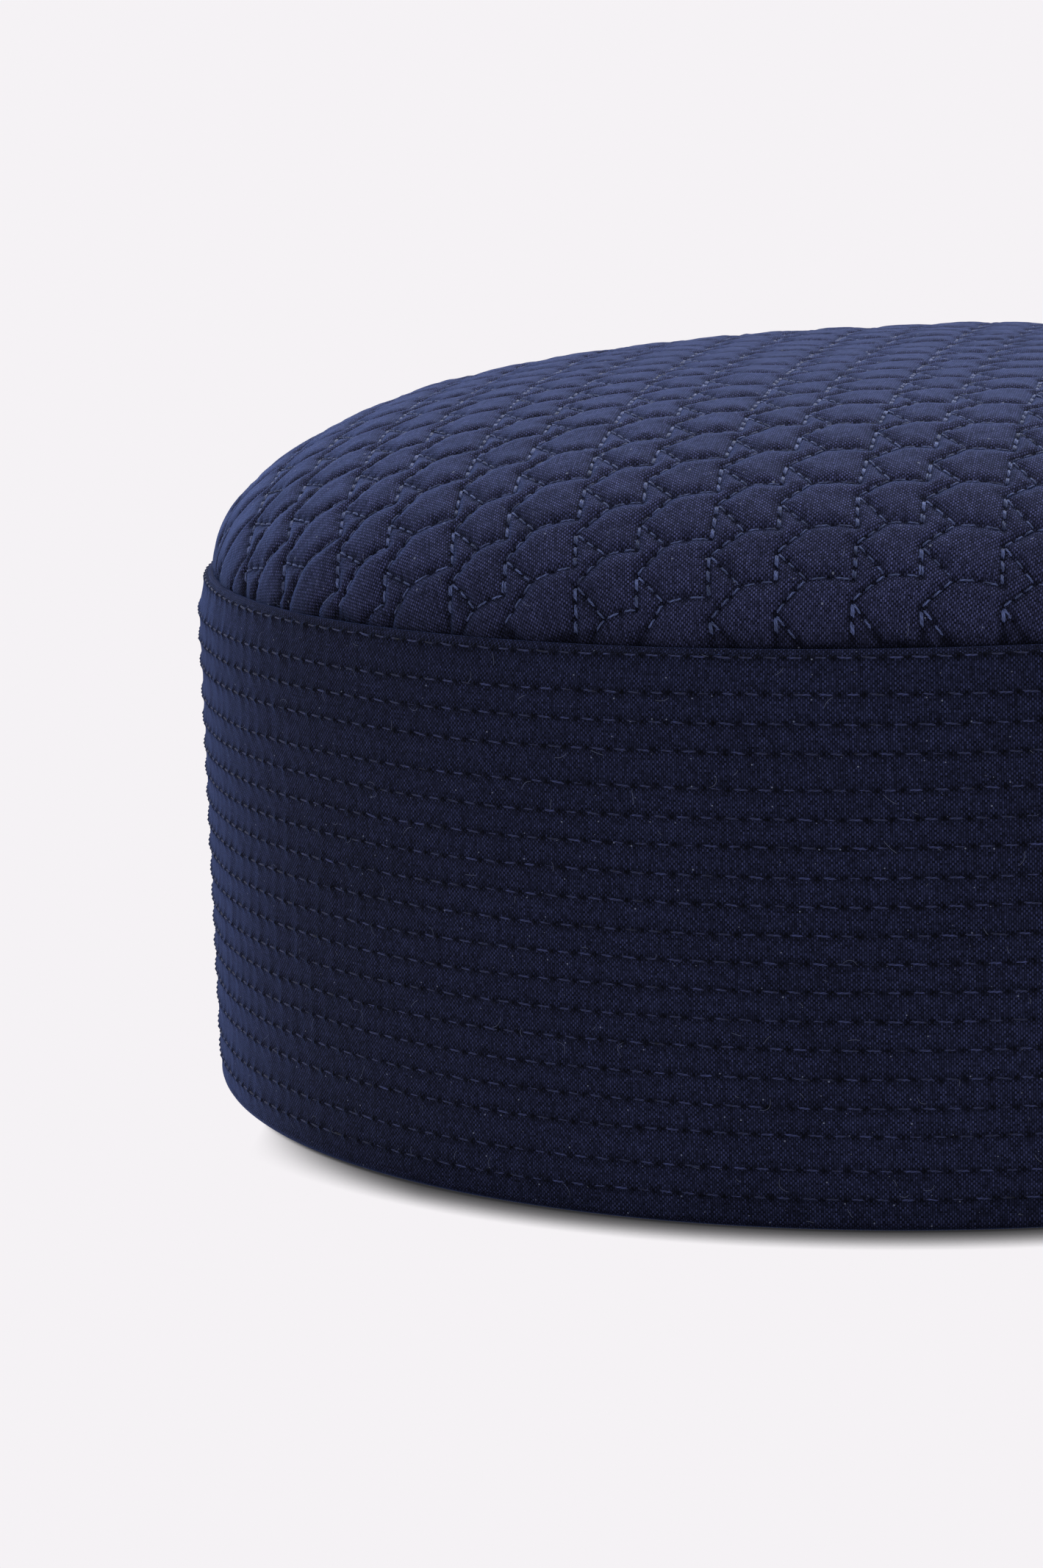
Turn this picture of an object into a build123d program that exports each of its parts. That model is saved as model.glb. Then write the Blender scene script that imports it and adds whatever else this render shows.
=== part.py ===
from build123d import *

import os
from math import cos, pi, sin

# A round, brimless cloth cap that stands on its rim. A tall band, stiffened and stitched through
# in rows, carries a soft quilted crown. The origin is the centre of the rim, +Z is up towards the
# crown, -Y is the front, and the band's join is at the back. Millimetres.

# --- overall sizes -----------------------------------------------------------------------------
band_radius = 90.0  # outside of the band
band_height = 63.0  # rim to crown seam
shoulder_height = 6.0  # the top of the band leans in over this height
shoulder_inset = 1.3  # and by this much
crown_rise = 23.1  # seam to the top of the dome
crown_edge_power = 3.49  # how full the dome is near its edge
crown_top_power = 1.875  # how flat the dome is on top

# --- cloth and filling -------------------------------------------------------------------------
shell_cloth = 0.5  # band outside, hem and turned-in top
crown_cloth = 0.45  # crown outside
backing_cloth = 0.35  # crown inside
lining_cloth = 0.45  # band inside
binding_cloth = 0.35  # tape over the raw edges inside the crown seam
stiffener_thickness = 0.8
crown_filling = 1.8  # wadding between the two crown cloths
pressed_filling = 0.3  # the same wadding where the seam presses it flat

# --- seams and edges ---------------------------------------------------------------------------
rim_round = 1.0  # outside radius of the fold at the rim
turn_in = 7.0  # the band's top edge is folded in by this much
seam_allowance = 5.5  # the crown's edge reaches this far down inside the band
inner_drop = 0.5  # stiffener and lining stop this far below the seam
edge_gap = 0.05  # between cloth edges that are butted together
join_gap = 0.16  # between the two ends of a strip at the back

# --- stitching ---------------------------------------------------------------------------------
first_row_drop = 0.8  # crown seam to the top row
row_pitch = 3.14
wide_pitch = 3.85  # under the top row, and where the binding and the hem end
lowest_row = 3.4  # no row is nearer to the rim than this
binding_rows = 4  # the top rows hold the binding
hem_rows = 2  # and the bottom ones the hem
thread_radius = 0.15
thread_proud = 0.10  # how far a row's thread stands out of the cloth
thread_clearance = 0.02  # between a thread and the groove that it lies in
quilt_clearance = 0.05  # between the quilting thread and the crown
quilt_angle = -7.6  # degrees, turn of the quilting about +Z
narrow_column = 7.1  # the quilting's columns alternate in width
wide_column = 8.5
quilt_offset = 2.5  # from the crown's middle to the start of a narrow column
quilt_thread_width = 0.24
quilt_thread_height = 0.16
quilt_end_gap = 0.3  # quilting lines stop this far above the seam
quilt_reach = 0.93  # outermost quilting line, as a share of the crown's radius

# --- depths below the band's outside, all worked out from the layers above ---------------------
shell_depth = shell_cloth
turn_in_depth = shell_depth + shell_cloth
crown_shell_depth = turn_in_depth + crown_cloth
crown_filling_depth = crown_shell_depth + pressed_filling
backing_depth = crown_filling_depth + backing_cloth
stiffener_depth = backing_depth + stiffener_thickness
hem_depth = stiffener_depth + shell_cloth
lining_depth = stiffener_depth + lining_cloth
binding_depth = lining_depth + binding_cloth

inner_top = band_height - inner_drop
binding_top = inner_top + binding_cloth


def band_outside(height):
    """Radius of the band's outside at a height."""
    lean_start = band_height - shoulder_height
    return band_radius - shoulder_inset * max(0.0, height - lean_start) / shoulder_height


def wall(outer_depth, inner_depth, bottom, top):
    """Section of a layer that follows the band between two heights, as corner points."""
    lean_start = band_height - shoulder_height
    heights = [bottom, top]
    if bottom < lean_start < top:
        heights.insert(1, lean_start)
    outside = [(band_outside(z) - outer_depth, z) for z in heights]
    inside = [(band_outside(z) - inner_depth, z) for z in reversed(heights)]
    return outside + inside


def dome_points(depth, drop, steps=12):
    """Points of a dome layer from its top to its edge: a superellipse in radius and height."""
    radius = band_outside(band_height) - depth
    rise = crown_rise - drop
    angles = [pi / 2 * i / steps for i in range(steps)]
    points = [
        (radius * sin(a) ** (2 / crown_edge_power), band_height + rise * cos(a) ** (2 / crown_top_power))
        for a in angles
    ]
    return points + [(radius, band_height)]


def row_heights():
    """Heights of the stitched rows, from the top one down to the last that clears the rim."""
    top = band_height - first_row_drop
    count = 1 + int((top - lowest_row - 3 * (wide_pitch - row_pitch)) // row_pitch)
    wide_after = (1, binding_rows, count - hem_rows)
    heights = [top]
    for row in range(1, count):
        heights.append(heights[-1] - (wide_pitch if row in wide_after else row_pitch))
    return heights


rows = row_heights()
binding_bottom = (rows[binding_rows - 1] + rows[binding_rows]) / 2
hem_height = (rows[-hem_rows - 1] + rows[-hem_rows]) / 2


def outer_thread_centre(height):
    return (band_outside(height) + thread_proud - thread_radius, height)


def inner_thread_centre(height):
    """A row's under thread lies on whatever is innermost there: binding, lining or hem."""
    if height > binding_bottom:
        depth = binding_depth
    elif height > hem_height:
        depth = lining_depth
    else:
        depth = hem_depth
    return (band_outside(height) - depth - thread_proud + thread_radius, height)


def quilt_lines():
    """Distances of the lengthwise quilting lines from the crown's middle."""
    reach = quilt_reach * (band_outside(band_height) - turn_in_depth)
    repeat = narrow_column + wide_column
    start = quilt_offset - repeat * (reach // repeat + 1)
    lines = []
    while start < reach:
        lines += [start, start + narrow_column]
        start += repeat
    return [u for u in lines if abs(u) < reach]


groove = 2 * (thread_radius + thread_clearance)


# --- band --------------------------------------------------------------------------------------
# Outer cloth: one strip, folded in at the top edge, folded round the rim and hemmed inside.
with BuildPart() as band_shell:
    with BuildSketch(Plane.XZ) as shell_section:
        for outline in (
            wall(0, shell_depth, 0, band_height),
            wall(shell_depth, turn_in_depth, band_height - turn_in, band_height),
            wall(0, hem_depth, 0, shell_cloth),
            wall(stiffener_depth, hem_depth, 0, hem_height),
        ):
            with BuildLine():
                Polyline(*outline, close=True)
            make_face()
        fillet(shell_section.vertices().group_by(Axis.Y)[0], radius=rim_round)
        fold_corners = shell_section.vertices().filter_by(lambda v: abs(v.Y - shell_cloth) < 1e-4)
        fillet(fold_corners, radius=rim_round - shell_cloth)
    revolve(axis=Axis.Z)
    with BuildSketch(Plane.XZ):
        with Locations(*[outer_thread_centre(z) for z in rows]):
            Rectangle(groove, groove)
        with Locations(*[inner_thread_centre(z) for z in rows if z <= hem_height]):
            Rectangle(groove, groove)
    revolve(axis=Axis.Z, mode=Mode.SUBTRACT)
    with Locations((0, band_radius, band_height / 2)):
        Box(join_gap, 4 * hem_depth, 2 * band_height, mode=Mode.SUBTRACT)

# Soft filling behind the outer cloth, below the turned-in edge.
with BuildPart() as band_wadding:
    with BuildSketch(Plane.XZ):
        with BuildLine():
            Polyline(*wall(shell_depth, backing_depth, rim_round, band_height - turn_in), close=True)
        make_face()
    revolve(axis=Axis.Z)

# Stiff strip that keeps the band upright.
with BuildPart() as band_stiffener:
    with BuildSketch(Plane.XZ):
        with BuildLine():
            Polyline(*wall(backing_depth, stiffener_depth, rim_round, inner_top), close=True)
        make_face()
    revolve(axis=Axis.Z)

# Inside cloth, from the hem's edge to the crown seam.
with BuildPart() as band_lining:
    with BuildSketch(Plane.XZ):
        with BuildLine():
            Polyline(*wall(stiffener_depth, lining_depth, hem_height + edge_gap, inner_top), close=True)
        make_face()
    revolve(axis=Axis.Z)
    with BuildSketch(Plane.XZ):
        with Locations(*[inner_thread_centre(z) for z in rows if hem_height < z <= binding_bottom]):
            Rectangle(groove, groove)
    revolve(axis=Axis.Z, mode=Mode.SUBTRACT)
    with Locations((0, band_radius, band_height / 2)):
        Box(join_gap, 4 * lining_depth, 2 * band_height, mode=Mode.SUBTRACT)

# Tape over the raw edges where the crown meets the band, inside.
with BuildPart() as seam_binding:
    with BuildSketch(Plane.XZ):
        for outline in (
            wall(lining_depth, binding_depth, binding_bottom, binding_top),
            wall(backing_depth, binding_depth, inner_top, binding_top),
        ):
            with BuildLine():
                Polyline(*outline, close=True)
            make_face()
    revolve(axis=Axis.Z)
    with BuildSketch(Plane.XZ):
        with Locations(*[inner_thread_centre(z) for z in rows if z > binding_bottom]):
            Rectangle(groove, groove)
    revolve(axis=Axis.Z, mode=Mode.SUBTRACT)


# --- crown -------------------------------------------------------------------------------------
# The crown's surfaces, from the outside in, each as a depth at the seam and a drop at the top.
crown_outside = (turn_in_depth, 0)
under_shell = (crown_shell_depth, crown_cloth)
under_filling = (crown_filling_depth, crown_cloth + crown_filling)
crown_inside = (backing_depth, crown_cloth + crown_filling + backing_cloth)
skirt_bottom = band_height - seam_allowance


def dome_layer(outside, inside, with_skirt):
    """The solid between two dome surfaces, with its seam allowance hanging below if asked for."""
    with BuildPart() as layer:
        with BuildSketch(Plane.XZ):
            with BuildLine():
                outer_line = Spline(*dome_points(*outside), tangents=[(1, 0), (0, -1)])
                inner_line = Spline(*dome_points(*inside), tangents=[(1, 0), (0, -1)])
                Line(outer_line @ 0, inner_line @ 0)
                Line(outer_line @ 1, inner_line @ 1)
            make_face()
            if with_skirt:
                with BuildLine():
                    Polyline(*wall(outside[0], inside[0], skirt_bottom, band_height), close=True)
                make_face()
        revolve(axis=Axis.Z)
    return layer.part


finished = {}
finished["crown_shell"] = dome_layer(crown_outside, under_shell, with_skirt=True)
finished["crown_wadding"] = dome_layer(under_shell, under_filling, with_skirt=True)
finished["crown_backing"] = dome_layer(under_filling, crown_inside, with_skirt=True)


# --- quilting ----------------------------------------------------------------------------------
def quilt_curve(u, depth, drop, steps=16):
    """Points along one quilting line: the dome surface cut by an upright plane u from its middle."""
    radius = band_outside(band_height) - depth
    rise = crown_rise - drop
    end_radius = radius * (1 - (quilt_end_gap / rise) ** crown_top_power) ** (1 / crown_edge_power)
    reach = (end_radius**2 - u**2) ** 0.5
    points = []
    for step in range(steps + 1):
        v = -reach * cos(pi * step / steps)
        share = ((u**2 + v**2) ** 0.5 / radius) ** crown_edge_power
        points.append((v, band_height + rise * (1 - share) ** (1 / crown_top_power)))
    return points


def quilt_net(depth, drop, side):
    """Thread ribbons along the quilting lines, above a dome surface (side 1) or under it (side -1)."""
    turned = Plane(Plane.XY.rotated((0, 0, quilt_angle)).location)
    near = side * quilt_clearance
    far = side * (quilt_clearance + quilt_thread_height)
    with BuildPart() as net:
        for u in quilt_lines():
            with BuildSketch(Plane(origin=turned.x_dir * u, x_dir=turned.y_dir, z_dir=turned.x_dir)):
                with BuildLine():
                    # Taken at the ribbon's edge that the dome comes nearest to.
                    edge = abs(abs(u) - side * quilt_thread_width / 2)
                    near_line = Spline(*quilt_curve(edge, depth - near, drop - near))
                    far_line = Spline(*quilt_curve(edge, depth - far, drop - far))
                    Line(near_line @ 0, far_line @ 0)
                    Line(near_line @ 1, far_line @ 1)
                make_face()
            extrude(amount=quilt_thread_width / 2, both=True)
    return net.part


finished["crown_quilt_thread"] = quilt_net(*crown_outside, side=1)
finished["crown_quilt_underthread"] = quilt_net(*crown_inside, side=-1)


# --- band stitching ----------------------------------------------------------------------------
# Each row is sewn with one thread outside and one inside.
for row, height in enumerate(rows, start=1):
    for name, centre in (
        (f"row_thread_{row:02d}", outer_thread_centre(height)),
        (f"row_underthread_{row:02d}", inner_thread_centre(height)),
    ):
        with BuildPart() as thread:
            with BuildSketch(Plane.XZ):
                with Locations(centre):
                    Circle(thread_radius)
            revolve(axis=Axis.Z)
        finished[name] = thread.part


# --- joins at the back -------------------------------------------------------------------------
def join_thread(inside_radius, outside_radius, bottom, top):
    """Thread that closes a strip into a ring, standing in the gap between the strip's ends."""
    with BuildPart() as thread:
        with Locations((0, (inside_radius + outside_radius) / 2, (bottom + top) / 2)):
            Box(join_gap - 2 * thread_clearance, outside_radius - inside_radius, top - bottom)
    return thread.part


groove_reach = 2 * thread_radius + thread_clearance - thread_proud
finished["band_join_thread"] = join_thread(
    band_radius - shell_cloth + thread_clearance,
    band_radius - groove_reach - thread_clearance,
    rim_round,
    band_height - shoulder_height,
)
lining_inside = band_radius - lining_depth
finished["lining_join_thread"] = join_thread(
    lining_inside + groove_reach + thread_clearance,
    lining_inside + lining_cloth - thread_clearance,
    hem_height + 2 * edge_gap,
    band_height - shoulder_height,
)

finished["band_shell"] = band_shell.part
finished["band_wadding"] = band_wadding.part
finished["band_stiffener"] = band_stiffener.part
finished["band_lining"] = band_lining.part
finished["seam_binding"] = seam_binding.part

# --- export ------------------------------------------------------------------------------------
os.makedirs("parts", exist_ok=True)
for name, part in finished.items():
    part.label = name
    export_step(part, f"parts/{name}.step")
print(len(finished), "nodes; rows at", [round(z, 2) for z in rows])
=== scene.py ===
import bpy
import numpy as np
from mathutils import Matrix, Vector


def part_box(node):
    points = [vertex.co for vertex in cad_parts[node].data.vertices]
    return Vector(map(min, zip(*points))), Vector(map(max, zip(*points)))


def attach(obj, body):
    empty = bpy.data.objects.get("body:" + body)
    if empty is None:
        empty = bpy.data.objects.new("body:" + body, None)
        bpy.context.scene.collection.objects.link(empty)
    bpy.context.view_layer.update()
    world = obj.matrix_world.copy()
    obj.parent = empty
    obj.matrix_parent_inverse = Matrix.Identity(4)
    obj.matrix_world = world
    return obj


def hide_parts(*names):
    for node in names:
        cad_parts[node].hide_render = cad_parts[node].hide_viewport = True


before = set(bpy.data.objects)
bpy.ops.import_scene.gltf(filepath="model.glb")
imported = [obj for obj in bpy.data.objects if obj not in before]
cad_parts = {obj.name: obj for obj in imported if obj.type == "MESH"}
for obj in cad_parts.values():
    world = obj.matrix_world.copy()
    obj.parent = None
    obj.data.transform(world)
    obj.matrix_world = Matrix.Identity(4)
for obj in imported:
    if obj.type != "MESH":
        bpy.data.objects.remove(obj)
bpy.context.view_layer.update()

# A round cloth cap: a tall band sewn through in level rows, and a quilted crown. All lengths are
# metres; mm turns the small ones into metres. Angle 0 is +X, and the band's join is at +Y.
mm = 0.001
turn = 2 * np.pi
joinAngle = np.pi / 2


def nodeBottom(name):
    # Height of a CAD piece's lowest corner.
    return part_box(name)[0].z


def nodeTop(name):
    # Height of its highest corner.
    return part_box(name)[1].z


def nodeRadius(name):
    # Outside radius of a round CAD piece: its highest x, since its middle is at 0.
    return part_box(name)[1].x


rowNames = sorted(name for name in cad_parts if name.startswith("row_thread_"))
rowHeights = np.array([sum(corner.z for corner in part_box(name)) / 2 for name in rowNames])
seamHeight = nodeTop("band_shell")

cap = {
    "radius": nodeRadius("band_shell"),  # outside of the band
    "edgeInset": 1.3 * mm,  # how far the band's top edge leans in
    "edgeHeight": 6 * mm,  # over this height
    "foldThick": 1.0 * mm,  # the band's folded top edge, two cloths thick
    "wall": 3.4 * mm,  # whole wall of the band
    "cloth": 0.5 * mm,  # one cloth
    "rimRound": 1.1 * mm,  # radius of the rim's two corners
    "hemTop": nodeBottom("band_lining"),  # the hem inside goes up to where the lining starts
    "roundness": 0.28 * mm,  # how far the band is from a true circle
}

dome = {
    "radius": cap["radius"] - cap["edgeInset"] - cap["foldThick"],
    "rise": nodeTop("crown_shell") - seamHeight,
    "edgePower": 3.49,  # how full the dome is near its edge
    "topPower": 1.875,  # how flat it is on top
    "skirt": 4 * mm,  # the cloth goes on down behind the band's edge
}
upperDome = {"radius": dome["radius"], "rise": dome["rise"]}
lowerDome = {
    "radius": dome["radius"] - 1.1 * mm,
    "rise": nodeTop("crown_backing") - 0.35 * mm - seamHeight,
}


def bell(x, width):
    # exp(-(x / width) ** 2): 1 at x = 0, and next to nothing from two widths on.
    return np.exp(-((x / width) ** 2))


def ripple(x, seed, waves, strength):
    # A smooth wandering line: the sum of sin(turn * cycles * x + a random start) / sqrt(cycles),
    # over the cycles in waves, times strength, and divided by the sum of 1 / sqrt(cycles).
    rng = np.random.default_rng(seed)
    total = np.zeros_like(x)
    for cycles in waves:
        total = total + np.sin(turn * cycles * x + rng.uniform(0, turn)) / cycles**0.5
    return strength * total / sum(1 / cycles**0.5 for cycles in waves)


def crumple(x, y, seed, length, strength, count=9):
    # A smooth wandering surface: count plane waves in random directions, about one length
    # apart, added up, times strength, and divided by sqrt(count).
    rng = np.random.default_rng(seed)
    total = np.zeros_like(x)
    for _ in range(count):
        angle, start = rng.uniform(0, turn, 2)
        step = length * rng.uniform(0.7, 1.5)
        total = total + np.sin(turn * (x * np.cos(angle) + y * np.sin(angle)) / step + start)
    return strength * total / count**0.5


def closedTube(name, section, moved, angles, paintedShade):
    # A cloth tube that closes on itself both ways, stations by columns. section holds the
    # stations' radii and heights as drawn, and moved the same two for every point as the stitches
    # leave them. A place on the cloth is (angle * radius, length round the section), with one
    # more row and column than there are points, so the weave has no jump.
    r, z = section
    across, up = moved
    points = np.stack([across * np.cos(angles), across * np.sin(angles), up], -1)
    rows, columns = angles.shape
    length = np.hypot(np.roll(r, -1) - r, np.roll(z, -1) - z).cumsum()
    length = np.concatenate([[0], length])
    around = np.concatenate([angles, angles[:, :1] + turn], 1)
    around = np.concatenate([around, around[:1]], 0)
    cloth = np.stack([around * cap["radius"], np.repeat(length[:, None], columns + 1, 1)], -1)
    row, column = np.meshgrid(np.arange(rows), np.arange(columns), indexing="ij")
    corners = [(row, column), (row + 1, column), (row + 1, column + 1), (row, column + 1)]
    faces = np.stack([(a % rows) * columns + b % columns for a, b in corners], -1).reshape(-1, 4)
    places = np.stack([cloth[a, b] for a, b in corners], -2).reshape(-1, 2)
    return meshFromFaces(name, points.reshape(-1, 3), [faces], places, paintedShade)


def meshFromFaces(name, points, faceLists, places=None, paintedShade=None):
    # Each list has one row of corner numbers for each face, so all its faces have as many corners.
    # places are cloth places, one for each corner in the same order. The last argument has one value
    # for each point, the painted shade: 1 where stitches press the cloth most and the shade is deepest.
    corners = np.concatenate([faces.ravel() for faces in faceLists]).astype(np.int32)
    sides = np.concatenate([np.full(len(faces), faces.shape[1]) for faces in faceLists])
    starts = (sides.cumsum() - sides).astype(np.int32)
    mesh = bpy.data.meshes.new(name)
    mesh.vertices.add(len(points))
    mesh.vertices.foreach_set("co", points.astype(np.float32).ravel())
    mesh.loops.add(len(corners))
    mesh.loops.foreach_set("vertex_index", corners)
    mesh.polygons.add(len(sides))
    mesh.polygons.foreach_set("loop_start", starts)
    if places is not None:
        layer = mesh.uv_layers.new(name="cloth")
        layer.data.foreach_set("uv", places.astype(np.float32).ravel())
    # The painted shade goes on as an attribute, which the cloth's material reads.
    if paintedShade is not None:
        attribute = mesh.attributes.new("paintedShade", "FLOAT", "POINT")
        attribute.data.foreach_set("value", paintedShade.astype(np.float32).ravel())
    mesh.update(calc_edges=True)
    mesh.validate()
    mesh.shade_smooth()
    piece = bpy.data.objects.new(name, mesh)
    bpy.context.scene.collection.objects.link(piece)
    return piece


def threadPiece(name, centre, outward, radius, sides):
    # Many short threads at once. centre is threads by stations by xyz, and outward is the same
    # shape. Each station gets a ring: centre + radius * (cos * outward + sin * sideways).
    threads, stations = centre.shape[:2]
    along = np.gradient(centre, axis=1)
    along /= np.linalg.norm(along, axis=2, keepdims=True)
    sideways = np.cross(along, outward)
    sideways /= np.linalg.norm(sideways, axis=2, keepdims=True)
    upright = np.cross(sideways, along)
    angle = turn * np.arange(sides) / sides
    ring = np.cos(angle)[:, None] * upright[:, :, None] + np.sin(angle)[:, None] * sideways[:, :, None]
    thick = radius * np.ones(stations)
    thick[[0, -1]] *= 0.45  # the ends narrow into the needle holes
    points = centre[:, :, None] + ring * thick[None, :, None, None]
    t, s, k = np.meshgrid(np.arange(threads), np.arange(stations - 1), np.arange(sides), indexing="ij")

    def corner(stationStep, sideStep):
        return (t * stations + s + stationStep) * sides + (k + sideStep) % sides

    faces = np.stack([corner(0, 0), corner(0, 1), corner(1, 1), corner(1, 0)], -1).reshape(-1, 4)
    length = np.linalg.norm(np.diff(centre, axis=1), axis=2).cumsum(1)
    length = np.concatenate([np.zeros((threads, 1)), length], 1)

    def place(stationStep, sideStep):
        return np.stack([(k + sideStep) / sides, length[t, s + stationStep] / radius], -1)

    places = np.stack([place(0, 0), place(0, 1), place(1, 1), place(1, 0)], -2).reshape(-1, 2)
    ends = (np.arange(threads)[:, None] * stations * sides + np.arange(sides)).astype(int)
    caps = np.concatenate([ends[:, ::-1], ends + (stations - 1) * sides])
    capPlaces = np.zeros((caps.size, 2))
    return meshFromFaces(name, points.reshape(-1, 3), [faces, caps], np.concatenate([places, capPlaces]))


def edgeLoop(count):
    # Corner numbers round the outside of a square grid, in order.
    i = np.arange(count - 1)
    last = count - 1
    return np.concatenate([i, i * count + last, last * count + last - i, (last - i) * count])


def closedShell(name, fine, coarse, clothFine, clothCoarse, paintedShade, flip):
    # A cloth with two faces: a fine square grid on the side that shows, a coarse one with a
    # quarter of its steps on the other, and a strip of triangles that joins their edges. flip
    # turns all faces over, for a shell whose fine side is underneath.
    m, n = fine.shape[0], coarse.shape[0]

    def quads(count, start):
        i = (np.arange(count - 1)[:, None] * count + np.arange(count - 1)).ravel() + start
        return np.stack([i, i + 1, i + count + 1, i + count], -1)

    f, c = edgeLoop(m), edgeLoop(n) + m * m
    f0, f1, f2, f3, f4 = (np.roll(f, -step)[::4] for step in range(5))
    c1 = np.roll(c, -1)
    strip = [(f1, f0, c), (f2, f1, c), (f2, c, c1), (f3, f2, c1), (f4, f3, c1)]
    triangles = np.concatenate([np.stack(corners, -1) for corners in strip])
    faces = [quads(m, 0), quads(n, m * m)[:, ::-1], triangles]
    if flip:
        faces = [each[:, ::-1] for each in faces]
    points = np.concatenate([fine.reshape(-1, 3), coarse.reshape(-1, 3)])
    cloth = np.concatenate([clothFine.reshape(-1, 2), clothCoarse.reshape(-1, 2)])
    places = np.concatenate([cloth[each.ravel()] for each in faces])
    paintedShade = np.concatenate([paintedShade.ravel(), np.zeros(n * n)])
    return meshFromFaces(name, points, faces, places, paintedShade)


def plug(tree, inputs, values):
    # Each input named or numbered in values takes a link or a plain value.
    for key, value in values.items():
        if isinstance(value, bpy.types.NodeSocket):
            tree.links.new(value, inputs[key])
        else:
            inputs[key].default_value = value


def addNode(tree, kind, inputs=None, **settings):
    # A new node with its settings made and its inputs plugged.
    node = tree.nodes.new("ShaderNode" + kind)
    for key, value in settings.items():
        setattr(node, key, value)
    plug(tree, node.inputs, inputs or {})
    return node


def calc(tree, operation, *values, clamp=False):
    # One step of arithmetic on up to three numbers.
    inputs = dict(enumerate(values))
    return addNode(tree, "Math", inputs, operation=operation, use_clamp=clamp).outputs[0]


def vector(tree, operation, first, second):
    # One step of arithmetic on two vectors, or with SCALE on a vector and a number.
    key = "Scale" if operation == "SCALE" else 1
    return addNode(tree, "VectorMath", {0: first, key: second}, operation=operation).outputs[0]


def axesOf(tree, place):
    # The three numbers of a place.
    return addNode(tree, "SeparateXYZ", {0: place}).outputs


def noise(tree, place, scale, detail=2.0):
    # Soft noise about a half, with patches about 1 / scale across.
    return addNode(tree, "TexNoise", {"Vector": place, "Scale": scale, "Detail": detail}).outputs


def randomCells(tree, place, scale):
    # Flat cells about 1 / scale across, each with chances of its own.
    inputs = {"Vector": place, "Scale": scale}
    return addNode(tree, "TexVoronoi", inputs, voronoi_dimensions="2D").outputs


def toneFrom(tree, value, contrast):
    # A value between 0 and 1 made into a tone about 1: value * contrast + 1 - contrast / 2.
    return calc(tree, "MULTIPLY_ADD", value, contrast, 1 - contrast / 2)


def blendColor(tree, share, first, second, mode="MIX"):
    # first * (1 - share) + second * share, where MULTIPLY makes second the product of the two.
    inputs = {0: share, 6: first, 7: second}
    return addNode(tree, "Mix", inputs, data_type="RGBA", blend_type=mode).outputs[2]


def greyOf(tree, light):
    # The grey with all three channels at light.
    return addNode(tree, "CombineColor", {0: light, 1: light, 2: light}).outputs[0]


def shaded(tree, color, light):
    # Each channel of a colour times light.
    return blendColor(tree, 1.0, color, greyOf(tree, light), "MULTIPLY")


def bumpFrom(tree, height, strength):
    # The tilt of a surface whose height is in metres.
    inputs = {"Height": height, "Strength": strength, "Distance": 1.0}
    return addNode(tree, "Bump", inputs).outputs[0]


def newGroup(name, inputs, outputs):
    # A node group with inputs (name, kind, value or None) and plain numbers as outputs.
    tree = bpy.data.node_groups.new(name, "ShaderNodeTree")
    for socket, kind, value in inputs:
        made = tree.interface.new_socket(socket, in_out="INPUT", socket_type="NodeSocket" + kind)
        if value is not None:
            made.default_value = value
    for socket in outputs:
        tree.interface.new_socket(socket, in_out="OUTPUT", socket_type="NodeSocketFloat")
    return tree, tree.nodes.new("NodeGroupInput").outputs, tree.nodes.new("NodeGroupOutput").inputs


def useGroup(tree, group, **inputs):
    # Puts a group in a material's tree.
    return addNode(tree, "Group", inputs, node_tree=group).outputs


def plainWeaveGroup():
    # One yarn over, one under. With x and y counted in yarns, the warp's height is
    # 0.6 |sin pi x| + 0.4 sin pi x sin pi y, the weft's is 0.6 |sin pi y| minus the same product,
    # and the cloth's is the higher of the two.
    tree, source, result = newGroup(
        "plainWeave",
        [("Place", "Vector", None), ("Yarn", "Float", 0.238 * mm), ("Drift", "Float", 0.3)],
        ["Height", "Slub", "Warp", "Grain"],
    )
    place, yarn = source["Place"], source["Yarn"]
    wander = vector(tree, "SUBTRACT", noise(tree, place, 160.0, 1.0)["Color"], (0.5, 0.5, 0.5))
    shift = vector(tree, "SCALE", wander, calc(tree, "MULTIPLY", source["Drift"], yarn))
    moved = vector(tree, "ADD", place, shift)
    yarns = vector(tree, "SCALE", moved, calc(tree, "DIVIDE", 1.0, yarn))
    axes = axesOf(tree, yarns)
    waveX = calc(tree, "SINE", calc(tree, "MULTIPLY", axes[0], np.pi))
    waveY = calc(tree, "SINE", calc(tree, "MULTIPLY", axes[1], np.pi))
    cross = calc(tree, "MULTIPLY", calc(tree, "MULTIPLY", waveX, waveY), 0.4)
    warp = calc(tree, "MULTIPLY_ADD", calc(tree, "ABSOLUTE", waveX), 0.6, cross)
    weft = calc(tree, "SUBTRACT", calc(tree, "MULTIPLY", calc(tree, "ABSOLUTE", waveY), 0.6), cross)
    # Yarns are uneven along their length: noise stretched along each of the two directions.
    slubs = []
    for stretch in ((1.0, 0.06, 1.0), (0.06, 1.0, 1.0)):
        slubs.append(noise(tree, vector(tree, "MULTIPLY", yarns, stretch), 1.0, 1.0)[0])
    onTop = calc(tree, "GREATER_THAN", warp, weft)
    crossing = addNode(tree, "VectorMath", {0: yarns}, operation="FLOOR").outputs[0]
    plug(tree, result, {
        "Height": calc(tree, "MAXIMUM", warp, weft),
        "Slub": addNode(tree, "Mix", {0: onTop, 2: slubs[1], 3: slubs[0]}, data_type="FLOAT").outputs[0],
        "Warp": onTop,
        "Grain": addNode(tree, "TexWhiteNoise", {"Vector": crossing}).outputs["Value"],
    })
    return tree


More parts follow.
